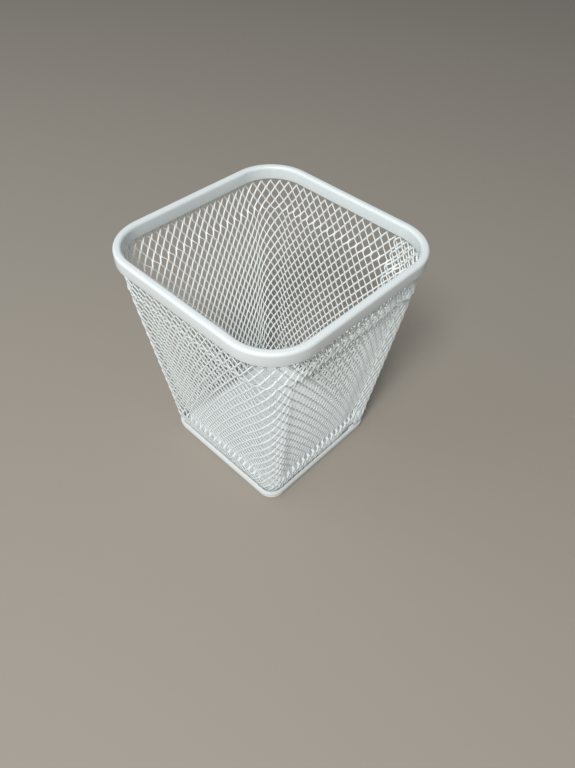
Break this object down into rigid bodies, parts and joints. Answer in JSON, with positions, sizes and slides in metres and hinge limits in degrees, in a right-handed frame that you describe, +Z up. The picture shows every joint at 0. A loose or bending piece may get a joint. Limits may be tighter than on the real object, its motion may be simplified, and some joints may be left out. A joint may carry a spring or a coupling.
{
  "type": "mesh pen cup",
  "caption": "Square tapered desk cup for pens and pencils: expanded-metal mesh walls, a folded steel rim, a rolled foot hoop and a solid steel floor.",
  "frame": {"origin": "middle of the footprint, on the surface that the cup stands on", "axes": "+Z up along the cup's axis, out of its mouth; X and Y square to its four faces"},
  "size_m": [0.0886, 0.0886, 0.1],
  "materials": {
    "rim_powder_coat": "white powder coat, satin gloss",
    "mesh_powder_coat": "white powder coat, satin",
    "base_powder_coat": "white powder coat, satin gloss"
  },
  "bodies": {
    "root": {"top_rim": "rim_powder_coat", "mesh_wall": "mesh_powder_coat", "base_hoop": "base_powder_coat", "base_plate": "base_powder_coat"}
  },
  "joints": []
}
